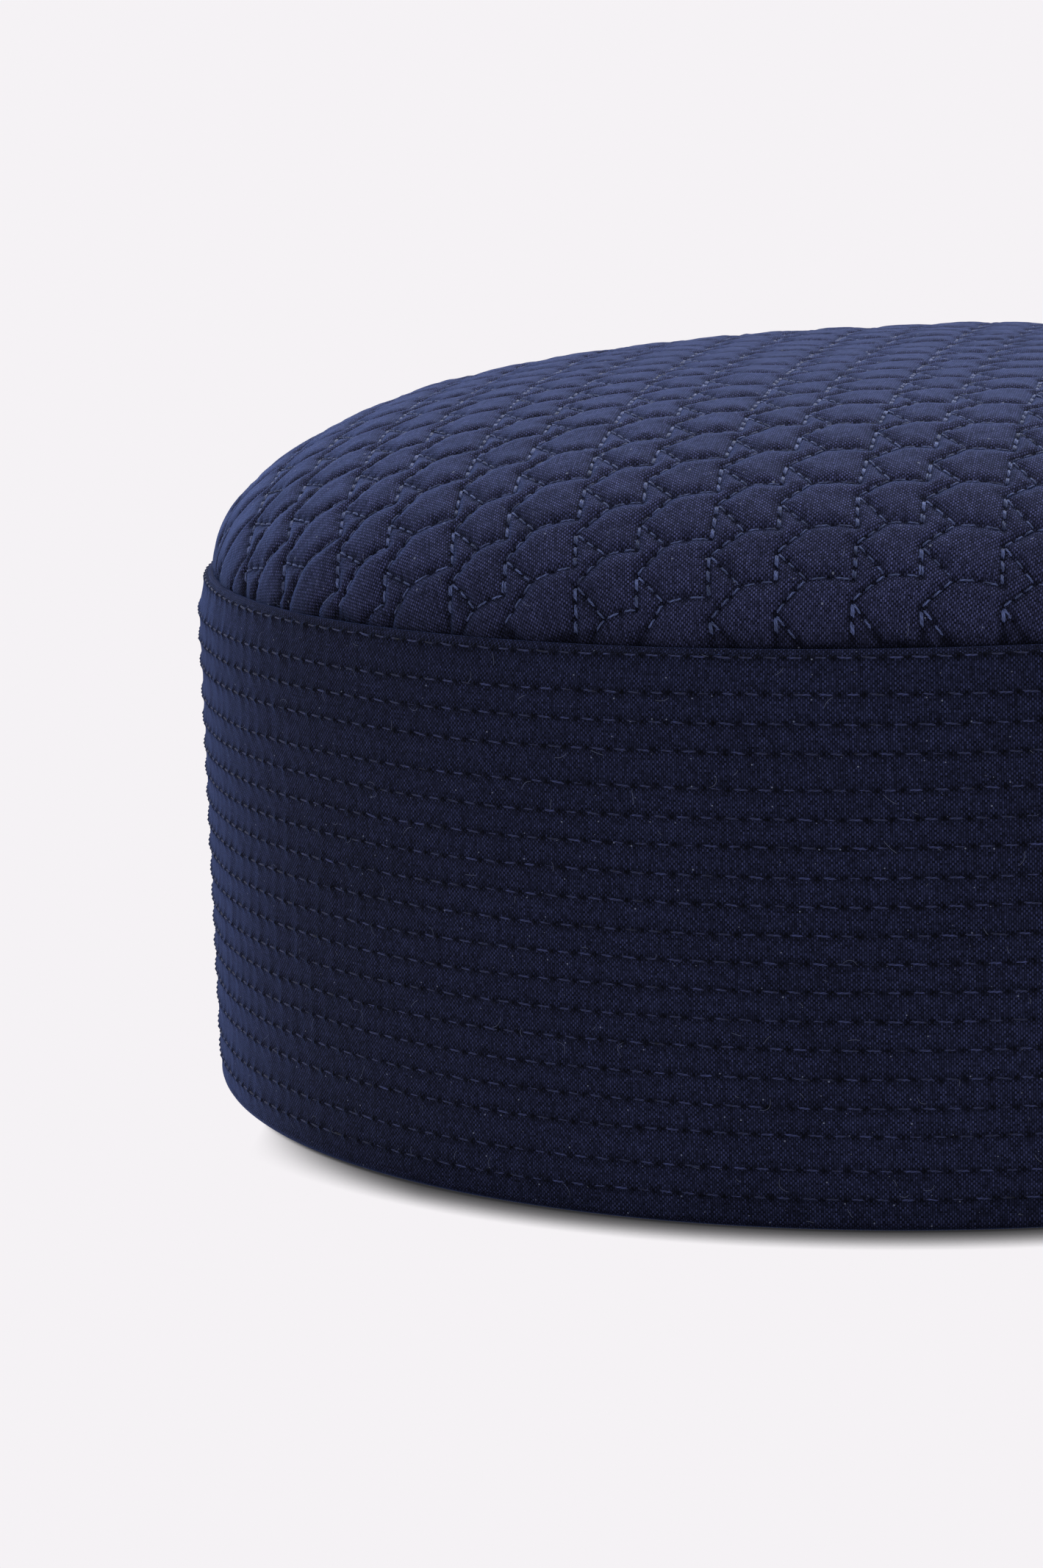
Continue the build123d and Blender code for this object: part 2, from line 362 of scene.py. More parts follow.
lintShape = {
    "bend": 1800.0,  # most curvature of a fibre, in 1 / metre
    "halfWidth": 0.028 * mm,
    "shortest": 0.15 * mm,  # half the length of a fibre
    "longer": 1.9 * mm,  # most that chance adds to that
    "lift": 0.05 * mm,  # how far a fibre stands up
    "speckCells": 2.2,  # cells of specks for one of fibres, along a line
    "speckSize": 0.045,  # most of a cell that a speck's radius takes
}


def lintGroup():
    # Short curved fibres: in each random cell, a thin arc through the cell's point at a random
    # angle, and in a finer set of cells, a small speck.
    tree, source, result = newGroup(
        "lint",
        [("Place", "Vector", None), ("Spacing", "Float", 4 * mm), ("Share", "Float", 0.5)],
        ["Fibres", "Specks"],
    )
    place, share = source["Place"], source["Share"]
    often = calc(tree, "DIVIDE", 1.0, source["Spacing"])
    cell = randomCells(tree, place, often)
    local = vector(tree, "SUBTRACT", place, cell["Position"])
    chance = addNode(tree, "SeparateColor", {0: cell["Color"]}).outputs
    turning = {"Vector": local, "Angle": calc(tree, "MULTIPLY", chance[0], turn)}
    axes = axesOf(tree, addNode(tree, "VectorRotate", turning, rotation_type="Z_AXIS").outputs[0])
    bend = calc(tree, "MULTIPLY", calc(tree, "SUBTRACT", chance[1], 0.5), lintShape["bend"])
    arc = calc(tree, "MULTIPLY", calc(tree, "MULTIPLY", axes[0], axes[0]), bend)
    offLine = calc(tree, "ABSOLUTE", calc(tree, "SUBTRACT", axes[1], arc))
    onLine = calc(tree, "LESS_THAN", offLine, lintShape["halfWidth"])
    halfLength = calc(tree, "MULTIPLY_ADD", chance[2], lintShape["longer"], lintShape["shortest"])
    inLength = calc(tree, "LESS_THAN", calc(tree, "ABSOLUTE", axes[0]), halfLength)
    chosen = calc(tree, "LESS_THAN", chance[2], share)
    speck = randomCells(tree, place, calc(tree, "MULTIPLY", often, lintShape["speckCells"]))
    luck = addNode(tree, "SeparateColor", {0: speck["Color"]}).outputs
    size = calc(tree, "MULTIPLY", luck[1], lintShape["speckSize"])
    near = calc(tree, "LESS_THAN", speck["Distance"], size)
    plug(tree, result, {
        "Fibres": calc(tree, "MULTIPLY", calc(tree, "MULTIPLY", onLine, inLength), chosen),
        "Specks": calc(tree, "MULTIPLY", near, calc(tree, "LESS_THAN", luck[0], share)),
    })
    return tree


def toneGroup():
    # Slow changes of tone, as cloth has from handling: two sizes of soft noise, added up and
    # spread about 1 by the strength.
    tree, source, result = newGroup(
        "clothTone", [("Place", "Vector", None), ("Strength", "Float", 0.2)], ["Tone"]
    )
    coarse = noise(tree, source["Place"], 45.0)[0]
    fine = noise(tree, source["Place"], 420.0, 3.0)[0]
    both = calc(tree, "SUBTRACT", calc(tree, "ADD", coarse, fine), 1.0)
    plug(tree, result, {"Tone": calc(tree, "MULTIPLY_ADD", both, source["Strength"], 1.0)})
    return tree


plainWeave = plainWeaveGroup()
lint = lintGroup()
clothTone = toneGroup()


def newMaterial(name):
    # A new material, its tree and the inputs of its shader.
    material = bpy.data.materials.new(name)
    material.use_nodes = True
    tree = material.node_tree
    return material, tree, tree.nodes["Principled BSDF"].inputs


def softFinish(look):
    # The shader's values for light that glances off fibres.
    return {
        "Specular IOR Level": look["specular"],
        "Sheen Weight": look["sheen"],
        "Sheen Roughness": look["sheenRoughness"],
        "Sheen Tint": look["sheenTint"],
    }


def clothMaterial(name, look):
    # Woven cloth: the weave's height lightens the yarns' tops and paints shade in the gaps, pinched
    # places get painted shade, and lint lies on top. The tones are multiplied together, then with
    # the colour.
    material, tree, shader = newMaterial(name)
    place = addNode(tree, "UVMap", uv_map="cloth").outputs[0]
    weave = useGroup(tree, plainWeave, Place=place, Yarn=look["yarn"])
    dust = useGroup(tree, lint, Place=place, Spacing=look["lintSpacing"], Share=look["lintShare"])
    # Painted shade from the mesh: in needle holes, along stitched rows and lines, and in the seam.
    paintedShade = addNode(tree, "Attribute", attribute_name="paintedShade").outputs["Fac"]
    # The weave's height paints light on the yarns' tops and shade in the gaps between them.
    light = calc(tree, "MULTIPLY_ADD", weave["Height"], look["weaveContrast"], look["gapLight"])
    for tone in (
        toneFrom(tree, weave["Slub"], look["slubContrast"]),
        useGroup(tree, clothTone, Place=place, Strength=look["toneStrength"])["Tone"],
        toneFrom(tree, weave["Warp"], look["warpContrast"]),
        toneFrom(tree, weave["Grain"], look["grainContrast"]),
        calc(tree, "MULTIPLY_ADD", paintedShade, -look["paintedShadeDepth"], 1.0),
    ):
        light = calc(tree, "MULTIPLY", light, tone)
    color = shaded(tree, look["color"], light)
    for kind, strength in (("Fibres", look["fibreLight"]), ("Specks", look["speckLight"])):
        share = calc(tree, "MULTIPLY", dust[kind], strength)
        color = blendColor(tree, share, color, look["lintColor"])
    lift = calc(tree, "MULTIPLY", weave["Height"], look["yarn"] * look["weaveDepth"])
    lift = calc(tree, "MULTIPLY_ADD", dust["Fibres"], lintShape["lift"], lift)
    plug(tree, shader, {
        "Base Color": color,
        "Roughness": calc(tree, "MULTIPLY_ADD", weave["Height"], -look["yarnShine"], look["roughness"]),
        "Normal": bumpFrom(tree, lift, look["bump"]),
        **softFinish(look),
    })
    return material


def threadMaterial(name, look):
    # Twisted thread: a helix of plies, each as high as half of 1 + sin(turn * plies * (share of
    # the ring + twist * length)), with the length counted in radii.
    material, tree, shader = newMaterial(name)
    axes = axesOf(tree, addNode(tree, "UVMap", uv_map="cloth").outputs[0])
    along = calc(tree, "MULTIPLY", axes[1], look["twist"])
    phase = calc(tree, "MULTIPLY", calc(tree, "ADD", axes[0], along), turn * look["plies"])
    ply = calc(tree, "MULTIPLY_ADD", calc(tree, "SINE", phase), 0.5, 0.5)
    spot = addNode(tree, "TexCoord").outputs["Object"]
    uneven = toneFrom(tree, noise(tree, spot, look["unevenScale"])[0], look["uneven"])
    # The plies' height paints light on their tops and shade in the grooves between them.
    light = calc(tree, "MULTIPLY", toneFrom(tree, ply, look["plyContrast"]), uneven)
    height = calc(tree, "MULTIPLY", ply, look["plyDepth"])
    plug(tree, shader, {
        "Base Color": shaded(tree, look["color"], light),
        "Roughness": look["roughness"],
        "Normal": bumpFrom(tree, height, look["bump"]),
        **softFinish(look),
    })
    return material


def feltMaterial(name, look):
    # Pressed fibres: noise stretched three ways, the highest winning, so fibres seem to cross.
    material, tree, shader = newMaterial(name)
    spot = addNode(tree, "TexCoord").outputs["Object"]
    height = 0.0
    for turned in (0.3, 1.4, 2.5):
        inputs = {"Vector": spot, "Rotation": (turned, turned, turned), "Scale": (1, 0.12, 1)}
        laid = addNode(tree, "Mapping", inputs).outputs[0]
        height = calc(tree, "MAXIMUM", noise(tree, laid, look["fibre"])[0], height)
    patches = noise(tree, spot, 60.0)[0]
    light = calc(tree, "ADD", height, patches)
    light = calc(tree, "MULTIPLY_ADD", light, look["dark"], 1 - look["dark"])
    plug(tree, shader, {
        "Base Color": shaded(tree, look["color"], light),
        "Roughness": 0.95,
        "Normal": bumpFrom(tree, calc(tree, "MULTIPLY", height, 0.2 * mm), look["bump"]),
        "Specular IOR Level": 0.1,
    })
    return material


bandClothLook = {
    "color": (0.0108, 0.0130, 0.0345, 1),
    "yarn": 0.255 * mm,  # from one yarn to the next
    "weaveContrast": 1.15,  # how much lighter a yarn's top is than a gap, with painted shade in the gap
    "gapLight": 0.28,
    "warpContrast": 1.1,  # how the two directions of yarn differ
    "slubContrast": 1.2,  # how each yarn changes along its length
    "grainContrast": 1.0,  # how one crossing differs from the next
    "weaveDepth": 0.22,  # of a yarn
    "bump": 0.7,
    "toneStrength": 0.45,
    "paintedShadeDepth": 0.8,  # how much painted shade darkens the most pinched places
    "lintSpacing": 5.0 * mm,
    "lintShare": 0.42,  # of the places that could have lint
    "lintColor": (0.15, 0.17, 0.25, 1),
    "fibreLight": 0.45,
    "speckLight": 0.8,
    "roughness": 0.95,
    "yarnShine": 0.12,  # how much less rough a yarn's top is
    "specular": 0.06,
    "sheen": 0.45,
    "sheenRoughness": 0.24,
    "sheenTint": (0.20, 0.33, 0.95, 1),
}
crownClothLook = {
    **bandClothLook,
    "color": (0.0234, 0.0264, 0.0665, 1),
    "lintSpacing": 8 * mm,
    "lintShare": 0.35,
    "warpContrast": 1.3,
    "sheen": 0.48,
    "sheenRoughness": 0.3,
    "sheenTint": (0.22, 0.36, 0.95, 1),
    "paintedShadeDepth": 0.75,
}
innerClothLook = {
    **bandClothLook,
    "color": (0.060, 0.068, 0.115, 1),
    "yarn": 0.3 * mm,
    "lintSpacing": 9 * mm,
    "sheen": 0.2,
}
tapeLook = {**innerClothLook, "color": (0.028, 0.032, 0.060, 1), "yarn": 0.42 * mm}
bandThreadLook = {
    "color": (0.0165, 0.0210, 0.0640, 1),
    "plies": 2,
    "twist": 0.09,  # turns of the helix in one radius of length
    "plyContrast": 0.8,
    "plyDepth": 0.03 * mm,
    "bump": 0.8,
    "uneven": 3.2,  # how much the tone changes from stitch to stitch
    "unevenScale": 420.0,
    "roughness": 0.6,
    "specular": 0.2,
    "sheen": 0.15,
    "sheenRoughness": 0.4,
    "sheenTint": (0.3, 0.45, 1.0, 1),
}
crownThreadLook = {**bandThreadLook, "color": (0.050, 0.065, 0.150, 1), "sheen": 0.35}
feltLook = {"color": (0.55, 0.54, 0.52, 1), "dark": 0.55, "fibre": 900.0, "bump": 0.5}
stiffenerLook = {"color": (0.10, 0.10, 0.11, 1), "dark": 0.45, "fibre": 1600.0, "bump": 0.3}

bandCloth = clothMaterial("bandCloth", bandClothLook)
crownCloth = clothMaterial("crownCloth", crownClothLook)
innerCloth = clothMaterial("innerCloth", innerClothLook)
tapeCloth = clothMaterial("tapeCloth", tapeLook)
bandThread = threadMaterial("bandThread", bandThreadLook)
crownThread = threadMaterial("crownThread", crownThreadLook)
softFelt = feltMaterial("softFelt", feltLook)
stiffFelt = feltMaterial("stiffFelt", stiffenerLook)
# These three stay as the CAD has them, with a material of their own.
fillings = {"band_wadding": softFelt, "crown_wadding": softFelt, "band_stiffener": stiffFelt}
for node, material in fillings.items():
    bpy.data.objects[node].material_slots[0].material = material


def finishPiece(piece, material, slot, *nodes):
    # Gives a piece its material and body, and hides the CAD pieces that it stands for. The slot
    # is not used.
    piece.data.materials.append(material)
    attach(piece, "root")
    if nodes:
        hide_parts(*nodes)
    return piece


# A lift moves the band's face, the lining and the tape towards the middle of the cap, and the hem
# away from it.
stitching = {
    "perRow": 212,  # stitches in one turn
    "rib": 0.13 * mm,  # lift half-way between two rows
    "ribPower": 2.4,  # how full the shape between two rows is
    "groove": 0.09 * mm,  # taken off everywhere, so that a row's own lift is below 0
    "hole": 0.16 * mm,  # taken off at each needle hole
    "holeWidth": 0.27 * mm,
    "tug": 0.06 * mm,  # change of the lift along a row, once a stitch
    "tugWidth": 0.9 * mm,
    "rowShade": 0.45,  # painted shade all along a row, where a hole has 1
    "rowShadeWidth": 0.5 * mm,
    "insideShare": 0.6,  # of the same lift on the inside of the wall
    "wobble": 0.13 * mm,  # how far a row strays from level
    "fadeOver": 0.6 * mm,  # the straying dies away over this height at the rim and the top
    "threadRadius": 0.12 * mm,
    "slant": 0.16 * mm,  # difference in height between a float's two ends
}
columnShares = np.array([0, 0.11, 0.33, 0.67, 0.89])  # columns within one stitch
rowShares = np.array([0, 0.05, 0.13, 0.3, 0.5, 0.7, 0.87, 0.95])  # stations in one rib
rowPhase = np.random.default_rng(7).uniform(-0.5, 0.5, len(rowHeights))

join = {
    "valley": 0.45 * mm,  # taken off the lift along the join
    "valleyWidth": 0.35 * mm,
    "swell": 0.25 * mm,  # added to it on both sides
    "swellWidth": 2.2 * mm,
    "stitches": 21,
    "threadDepth": 0.2 * mm,  # how deep its thread lies behind the plain surface
}


def rowStray(angle, row):
    # How far a row is above or below its level at an angle: a share that all rows have in
    # common, and a share of its own.
    own = ripple(angle / turn, 100 + row, (3, 7, 13, 29), stitching["wobble"])
    shared = ripple(angle / turn, 99, (2, 5, 11), stitching["wobble"])
    return own + shared


def joinDip(angle, radius):
    # The lift at the band's upright join: a wide bell of swell, less a narrow bell of valley.
    offset = (angle - joinAngle) * radius
    swell = join["swell"] * bell(offset, join["swellWidth"])
    return swell - join["valley"] * bell(offset, join["valleyWidth"])


def wallOutside(height):
    # Radius of the band's outside: upright, then leaning in towards the top along a parabola.
    lean = np.clip((height - seamHeight + cap["edgeHeight"]) / cap["edgeHeight"], 0, 1)
    return cap["radius"] - cap["edgeInset"] * lean**2


def ribProfile(height, angle):
    # The lift that the rows give the cloth: 1 - |2t - 1| ** ribPower between two rows, t going
    # from 0 to 1, with a small round dimple taken off at each needle hole. Also the painted shade:
    # darkest in each needle hole, with a band of it all along each row.
    levels = np.concatenate([[seamHeight + 0.5 * mm], rowHeights, [-0.6 * mm]])
    row = np.clip(np.searchsorted(-levels, -height, side="right") - 1, 0, len(levels) - 2)
    t = (levels[row] - height) / (levels[row] - levels[row + 1])
    lift = stitching["rib"] * (1 - np.abs(2 * t - 1) ** stitching["ribPower"]) - stitching["groove"]
    nearest = np.abs(height[..., None] - rowHeights).argmin(-1)
    gap = height - rowHeights[nearest]
    stitchPlace = angle / turn * stitching["perRow"] - rowPhase[nearest]
    toHole = (stitchPlace - np.round(stitchPlace)) * turn * cap["radius"] / stitching["perRow"]
    dimple = np.exp(-((gap / stitching["holeWidth"]) ** 2) - (toHole / stitching["holeWidth"]) ** 2)
    tug = stitching["tug"] * bell(gap, stitching["tugWidth"]) * np.cos(turn * stitchPlace)
    lift = lift - stitching["hole"] * dimple - tug
    # Painted shade: darkest in each needle hole, and a band of it along each row.
    paintedShade = np.clip(dimple + stitching["rowShade"] * bell(gap, stitching["rowShadeWidth"]), 0, 1)
    return lift, paintedShade


def rowLockedAngles(heights, shares=columnShares):
    # Columns run through the needle holes of every row: each height takes its place along a
    # stitch from the phases of the rows above and below it.
    phase = np.interp(-heights, -rowHeights, rowPhase)
    steps = (np.arange(stitching["perRow"])[:, None] + shares).ravel()
    return turn * (steps[None] + phase[:, None]) / stitching["perRow"]


def strayGrid(heights, angles):
    # The rows' strays, shared out to the heights between them.
    strays = np.stack([rowStray(angles.mean(0), row) for row in range(len(rowHeights))])
    below = np.clip(np.searchsorted(-rowHeights, -heights, side="left"), 1, len(rowHeights) - 1)
    share = (rowHeights[below - 1] - heights) / (rowHeights[below - 1] - rowHeights[below])
    share = np.clip(share, 0, 1)[:, None]
    fromEdge = np.minimum(heights - stitching["fadeOver"], seamHeight - heights)
    fade = np.clip(fromEdge / stitching["fadeOver"], 0, 1)[:, None]
    return ((1 - share) * strays[below - 1] + share * strays[below]) * fade


def ribStations(top, bottom, shares=rowShares):
    # Heights from top to bottom, close together at the rows.
    inside = rowHeights[(rowHeights < top) & (rowHeights > bottom)]
    levels = np.concatenate([[top], inside, [bottom]])
    gaps = levels[:-1, None] + shares * np.diff(levels)[:, None]
    return np.append(gaps.ravel(), bottom)


def arcPoints(centreR, centreZ, radius, start, end, count):
    # Radii and heights along an arc, from one angle to another, in degrees.
    angle = np.radians(np.linspace(start, end, count))
    return centreR + radius * np.cos(angle), centreZ + radius * np.sin(angle)


def sectionNormals(r, z):
    # Normals of a closed section that runs clockwise as seen with z up and r to the right: the
    # line between a station's two neighbours, turned a quarter. They point into the cloth.
    dr = np.roll(r, -1) - np.roll(r, 1)
    dz = np.roll(z, -1) - np.roll(z, 1)
    length = np.hypot(dr, dz)
    return dz / length, -dr / length


def outOfRound(angle, height):
    # Sewn cloth is never a perfect cylinder: a slow swell round the band, less near the rim.
    swell = ripple(angle / turn, 5, (2, 3, 5), cap["roundness"])
    return swell * np.clip(0.4 + height / seamHeight, 0, 1)


def bandSection():
    # The band cloth's closed section as named parts, each with its radii and heights: over the
    # folded top edge, down the face, round the rim, up the hem and back inside the fold.
    radius, wall, cloth, corner = cap["radius"], cap["wall"], cap["cloth"], cap["rimRound"]
    fold, hemTop = cap["foldThick"] / 2, cap["hemTop"]
    face = ribStations(seamHeight - fold * 1.1, 1.3 * mm)
    hem = np.linspace(1.6 * mm, hemTop - 0.4 * mm, 18)
    back = np.array([1.6, 20, 40, 55.8, 56.0, 59, 61, 62]) * mm
    backDepth = np.array([1.1, 1.1, 1.1, 1.1, 2.1, 2.1, 2.1, 2.05]) * cloth  # double at the top
    return {
        "fold": arcPoints(radius - cap["edgeInset"] - fold, seamHeight - fold, fold, 170, 10, 9),
        "face": (wallOutside(face), face),
        "rim": arcPoints(radius - corner, corner, corner, -8, -90, 6),
        "rimInside": arcPoints(radius - wall + corner, corner, corner, -90, -172, 6),
        "hem": (np.full(len(hem), radius - wall), hem),
        "hemEdge": arcPoints(radius - wall + cloth / 2, hemTop - 0.3 * mm, cloth / 2, 180, 10, 6),
        "hemBack": (np.full(2, radius - wall + cloth), np.array([hemTop - 1 * mm, 1.6 * mm])),
        "faceBack": (wallOutside(back) - backDepth, back),
    }


def makeBandCloth():
    # The section goes round once, and each point moves along its section's normal by the lift:
    # the rows' own, the join's dip and a fine crumple. The normals point into the cloth, so the
    # rows and their holes stand out by their lift, and the cloth half-way between is sunk.
    parts = bandSection()
    r, z = (np.concatenate(values) for values in zip(*parts.values()))
    part = np.repeat(list(parts), [len(heights) for _, heights in parts.values()])
    face, hem = part == "face", part == "hem"
    normalR, normalZ = sectionNormals(r, z)
    angles = rowLockedAngles(z)
    lift, paintedShade = ribProfile(np.repeat(z[:, None], angles.shape[1], 1), angles)
    side = np.where(face, 1.0, np.where(hem, stitching["insideShare"], 0.0))[:, None]
    sewn = side > 0
    lift = np.where(sewn, lift * side, -stitching["groove"] * 0.2)
    firstRib = np.flatnonzero(face)[:4]
    lift[firstRib] *= np.linspace(0.2, 1, 4)[:, None]  # starts gently under the folded edge
    lift = lift + joinDip(angles, cap["radius"]) * (face | (r > cap["radius"] - 2 * mm))[:, None]
    fine = crumple(angles * cap["radius"], z[:, None] + 0 * angles, 31, 5 * mm, 0.035 * mm)
    lift = lift + fine * sewn
    up = z[:, None] + strayGrid(z, angles) * sewn + normalZ[:, None] * lift
    across = r[:, None] + normalR[:, None] * lift + outOfRound(angles, z[:, None])
    return closedTube("band_cloth", (r, z), (across, np.maximum(up, 0)), angles, paintedShade * sewn)


def makeInnerTube(name, node, depth):
    # A cloth ring inside the wall, as a closed section: down its outer face, and up its inner
    # face, which the rows pull in. depth has both faces' distances from the band's outside.
    top, bottom = nodeTop(node), nodeBottom(node)
    outerZ = np.concatenate([[top], np.linspace(seamHeight - 1.5 * mm, bottom + 1 * mm, 8), [bottom]])
    outerZ = outerZ[outerZ <= top]
    innerZ = ribStations(top - 0.3 * mm, bottom + 0.15 * mm, rowShares[::2])[::-1]
    z = np.concatenate([outerZ, innerZ])
    inner = (np.arange(len(z)) >= len(outerZ))[:, None]
    r = wallOutside(z) - np.where(inner[:, 0], depth["inner"], depth["outer"])
    angles = rowLockedAngles(z, np.array([0, 0.3, 0.7]))
    lift, paintedShade = ribProfile(np.repeat(z[:, None], angles.shape[1], 1), angles)
    share = stitching["insideShare"]
    lift = (share * lift + share * joinDip(angles, cap["radius"])) * inner
    across = r[:, None] - lift + outOfRound(angles, z[:, None])
    up = z[:, None] + strayGrid(z, angles) * inner
    return closedTube(name, (r, z), (across, up), angles, paintedShade * inner)


def makeJoinStitches(name, faceRadius, side, top, bottom):
    # Upright floats, one above another, along the join. Each rises out of one hole and goes
    # down into the next.
    count = join["stitches"]
    shares = np.array([0.06, 0.3, 0.7, 0.94])
    rise = np.array([-0.15, 0.09, 0.09, -0.15]) * mm
    z = bottom + (top - bottom) * (np.arange(count)[:, None] + shares) / count
    depth = rise - join["threadDepth"]
    r = faceRadius + side * depth + outOfRound(np.full(z.shape, joinAngle), z)
    centre = np.stack([0 * r, r, z], -1)
    outward = np.stack([0 * r, side + 0 * r, 0 * r], -1)
    return threadPiece(name, centre, outward, stitching["threadRadius"], 6)


def rowFloats(row, side, faceRadius):
    # The threads of one row as they lie between needle holes. side is 1 outside and -1 inside.
    # A float comes out of one hole, lies half sunk along its row and goes down into the next.
    count = stitching["perRow"]
    rng = np.random.default_rng(1000 + row * 2 + (side > 0))
    shares = np.array([0.05, 0.15, 0.35, 0.65, 0.85, 0.95])
    rise = np.array([-0.13, 0.03, 0.06, 0.06, 0.03, -0.13]) * mm
    if side < 0:
        shares, rise = shares[[0, 1, 4, 5]], rise[[0, 1, 4, 5]]
    step = (np.arange(count)[:, None] + shares + rowPhase[row]) / count
    angle = turn * step
    loose = 1 + rng.normal(0, 0.25, (count, 1))
    slant = stitching["slant"] * (1 + rng.normal(0, 0.5, (count, 1))) * (shares - 0.5) * -side
    lift = rise * np.where(rise > 0, loose, 1)
    groove = -stitching["groove"] * (1 if side > 0 else stitching["insideShare"])
    height = rowHeights[row] + rowStray(angle, row) + slant
    radius = faceRadius + side * (groove + lift + stitching["threadRadius"] * 0.4)
    radius = radius + outOfRound(angle, rowHeights[row]) + joinDip(angle % turn, faceRadius) * (side > 0)
    centre = np.stack([radius * np.cos(angle), radius * np.sin(angle), height], -1)
    outward = side * np.stack([np.cos(angle), np.sin(angle), 0 * angle], -1)
    return centre, outward


def innerFace(row):
    # Radius of the cloth that a row's under thread lies on, from the CAD thread's own ring.
    return nodeRadius(f"row_underthread_{row + 1:02d}") - 0.2 * mm


def makeRowStitches():
    # Both threads of every row, each as its own piece.
    radius = stitching["threadRadius"]
    for row, name in enumerate(rowNames):
        number = name[-2:]
        floats = rowFloats(row, 1, wallOutside(rowHeights[row]))
        piece = threadPiece("row_stitches_" + number, *floats, radius, 5)
        finishPiece(piece, bandThread, "band_thread", name)
        floats = rowFloats(row, -1, innerFace(row))
        piece = threadPiece("row_understitches_" + number, *floats, radius, 4)
        finishPiece(piece, bandThread, "under_thread", "row_underthread_" + number)


bandPiece = finishPiece(makeBandCloth(), bandCloth, "band_cloth", "band_shell")
print("band cloth made:", len(bandPiece.data.polygons), "faces")

# Depths are from the band's outside. middle is the radius at which each sheet is measured flat.
liningPlace = {"outer": 2.92 * mm, "inner": 3.35 * mm, "middle": 0.0867}
bindingPlace = {"outer": 3.37 * mm, "inner": 3.72 * mm, "middle": 0.0863}
liningBottom, bindingBottom = nodeBottom("band_lining"), nodeBottom("seam_binding")
lining = makeInnerTube("lining_cloth", "band_lining", liningPlace)
finishPiece(lining, innerCloth, "lining_cloth", "band_lining")
binding = makeInnerTube("binding_tape", "seam_binding", bindingPlace)
finishPiece(binding, tapeCloth, "binding_tape", "seam_binding")
piece = makeJoinStitches("band_join_stitches", cap["radius"], 1, nodeTop("band_join_thread"), 1.5 * mm)
finishPiece(piece, bandThread, "band_thread", "band_join_thread")
liningFace = cap["radius"] - liningPlace["inner"]
piece = makeJoinStitches("lining_join_stitches", liningFace, -1, bindingBottom - mm, liningBottom + mm)
finishPiece(piece, bandThread, "under_thread", "lining_join_thread")
print("lining and binding made")
makeRowStitches()
print("band stitches made:", 2 * len(rowNames), "rows")


quilt = {
    "lean": np.radians(-7.6),  # turn of the columns about +Z
    "start": 2.5 * mm,  # a narrow column starts this far from the middle
    "narrow": 7.1 * mm,
    "wide": 8.5 * mm,
    "pitch": 8.1 * mm,  # one cell along a column
    "phase": -3.15 * mm,  # where the first fork lies along its line
    "narrowStep": -0.35 * mm,  # how far the forks move along from one line to the next
    "wideStep": 1.25 * mm,
    "narrowLevel": 0.58,  # how far below its fork a level line lies, in pitches
    "wideLevel": 0.53,
    "narrowKink": 0.47,  # where the slanting lines end, as a share of the column
    "wideKink": 0.40,
    "bow": 0.28 * mm,  # rise of a level line at its middle
    "puff": 0.48 * mm,  # how far a cell rises
    "puffReach": 2.2 * mm,  # the rise is full from this distance to a line on
    "puffPower": 2.2,
    "grid": 441,  # points along a side of the crown cloth's grid
    "seamOver": 1.2 * mm,  # the lift dies away over this depth in the seam
    "valley": 0.12 * mm,  # how far all lines are pulled in
    "crease": 0.08 * mm,  # how much further right at a line
    "creaseWidth": 0.35 * mm,
    "hole": 0.17 * mm,  # and at a needle hole
    "holeAcross": 0.3 * mm,
    "holeAlong": 0.32 * mm,
    "stray": 0.16 * mm,  # how far the sewing strayed from its lines
    "scatter": 0.035 * mm,  # and each stitch from its place
    "stitch": 1.75 * mm,
    "threadRadius": 0.125 * mm,
    "underRadius": 0.14 * mm,
    "edgeShrink": 0.95 * mm,  # how much the pattern is pushed in where the cloth was eased
    "shrinkFrom": 81 * mm,
    "shrinkOver": 10 * mm,
    "edgeTwist": 1.0 * mm,  # and how far round
    "twistFrom": 74 * mm,
    "twistOver": 17 * mm,
    "swell": 0.12 * mm,
    "swellChange": 0.09 * mm,
    "swellLength": 30 * mm,
}
backing = {  # the cloth under the filling
    "grid": 241,
    "thick": 0.33 * mm,
    "sag": 0.30 * mm,  # how far a cell hangs down
    "hole": 0.12 * mm,  # how far a needle hole is pulled up
    "seamOver": 3 * mm,
}
crownPaintedShade = {  # shares and widths of the painted shade that darkens the crown's cloth
    "line": (0.5, 0.42 * mm),
    "besideLine": (0.14, 1.1 * mm),
    "seam": (0.5, 0.9 * mm),
    "slope": (0.38, 5 * mm),
    "underLine": (0.4, 0.3 * mm),
}
pairWidth = quilt["narrow"] + quilt["wide"]
pairStep = quilt["narrowStep"] + quilt["wideStep"]


def domeHeight(r, radius, rise):
    # Superellipse: (r / radius) ** edgePower + (height / rise) ** topPower = 1.
    share = np.clip(r / radius, 0, 1) ** dome["edgePower"]
    return rise * (1 - share) ** (1 / dome["topPower"])


def domeNormal(x, y, height, radius, rise):
    # The gradient of the same formula, made one long.
    r = np.maximum(np.hypot(x, y), 1e-9)
    n, m = dome["edgePower"], dome["topPower"]
    out = n * np.clip(r / radius, 0, 1) ** (n - 1) / radius
    up = m * np.clip(height / rise, 0, 1) ** (m - 1) / rise
    normal = np.stack([out * x / r, out * y / r, up], -1)
    return normal / np.linalg.norm(normal, axis=-1, keepdims=True)


# Length along a column, from the crown's middle line to v, for a table of u and v. The quilting
# was sewn on flat cloth, so its cells are even along this length and not in plan.
tableU = np.linspace(0, dome["radius"], 177)
tableV = np.linspace(0, dome["radius"], 1501)
tableRise = domeHeight(np.hypot(tableU[:, None], tableV), **upperDome)
tableStep = np.hypot(np.diff(tableV), np.diff(tableRise, axis=1))
tableLength = np.concatenate([np.zeros((len(tableU), 1)), tableStep.cumsum(1)], 1)


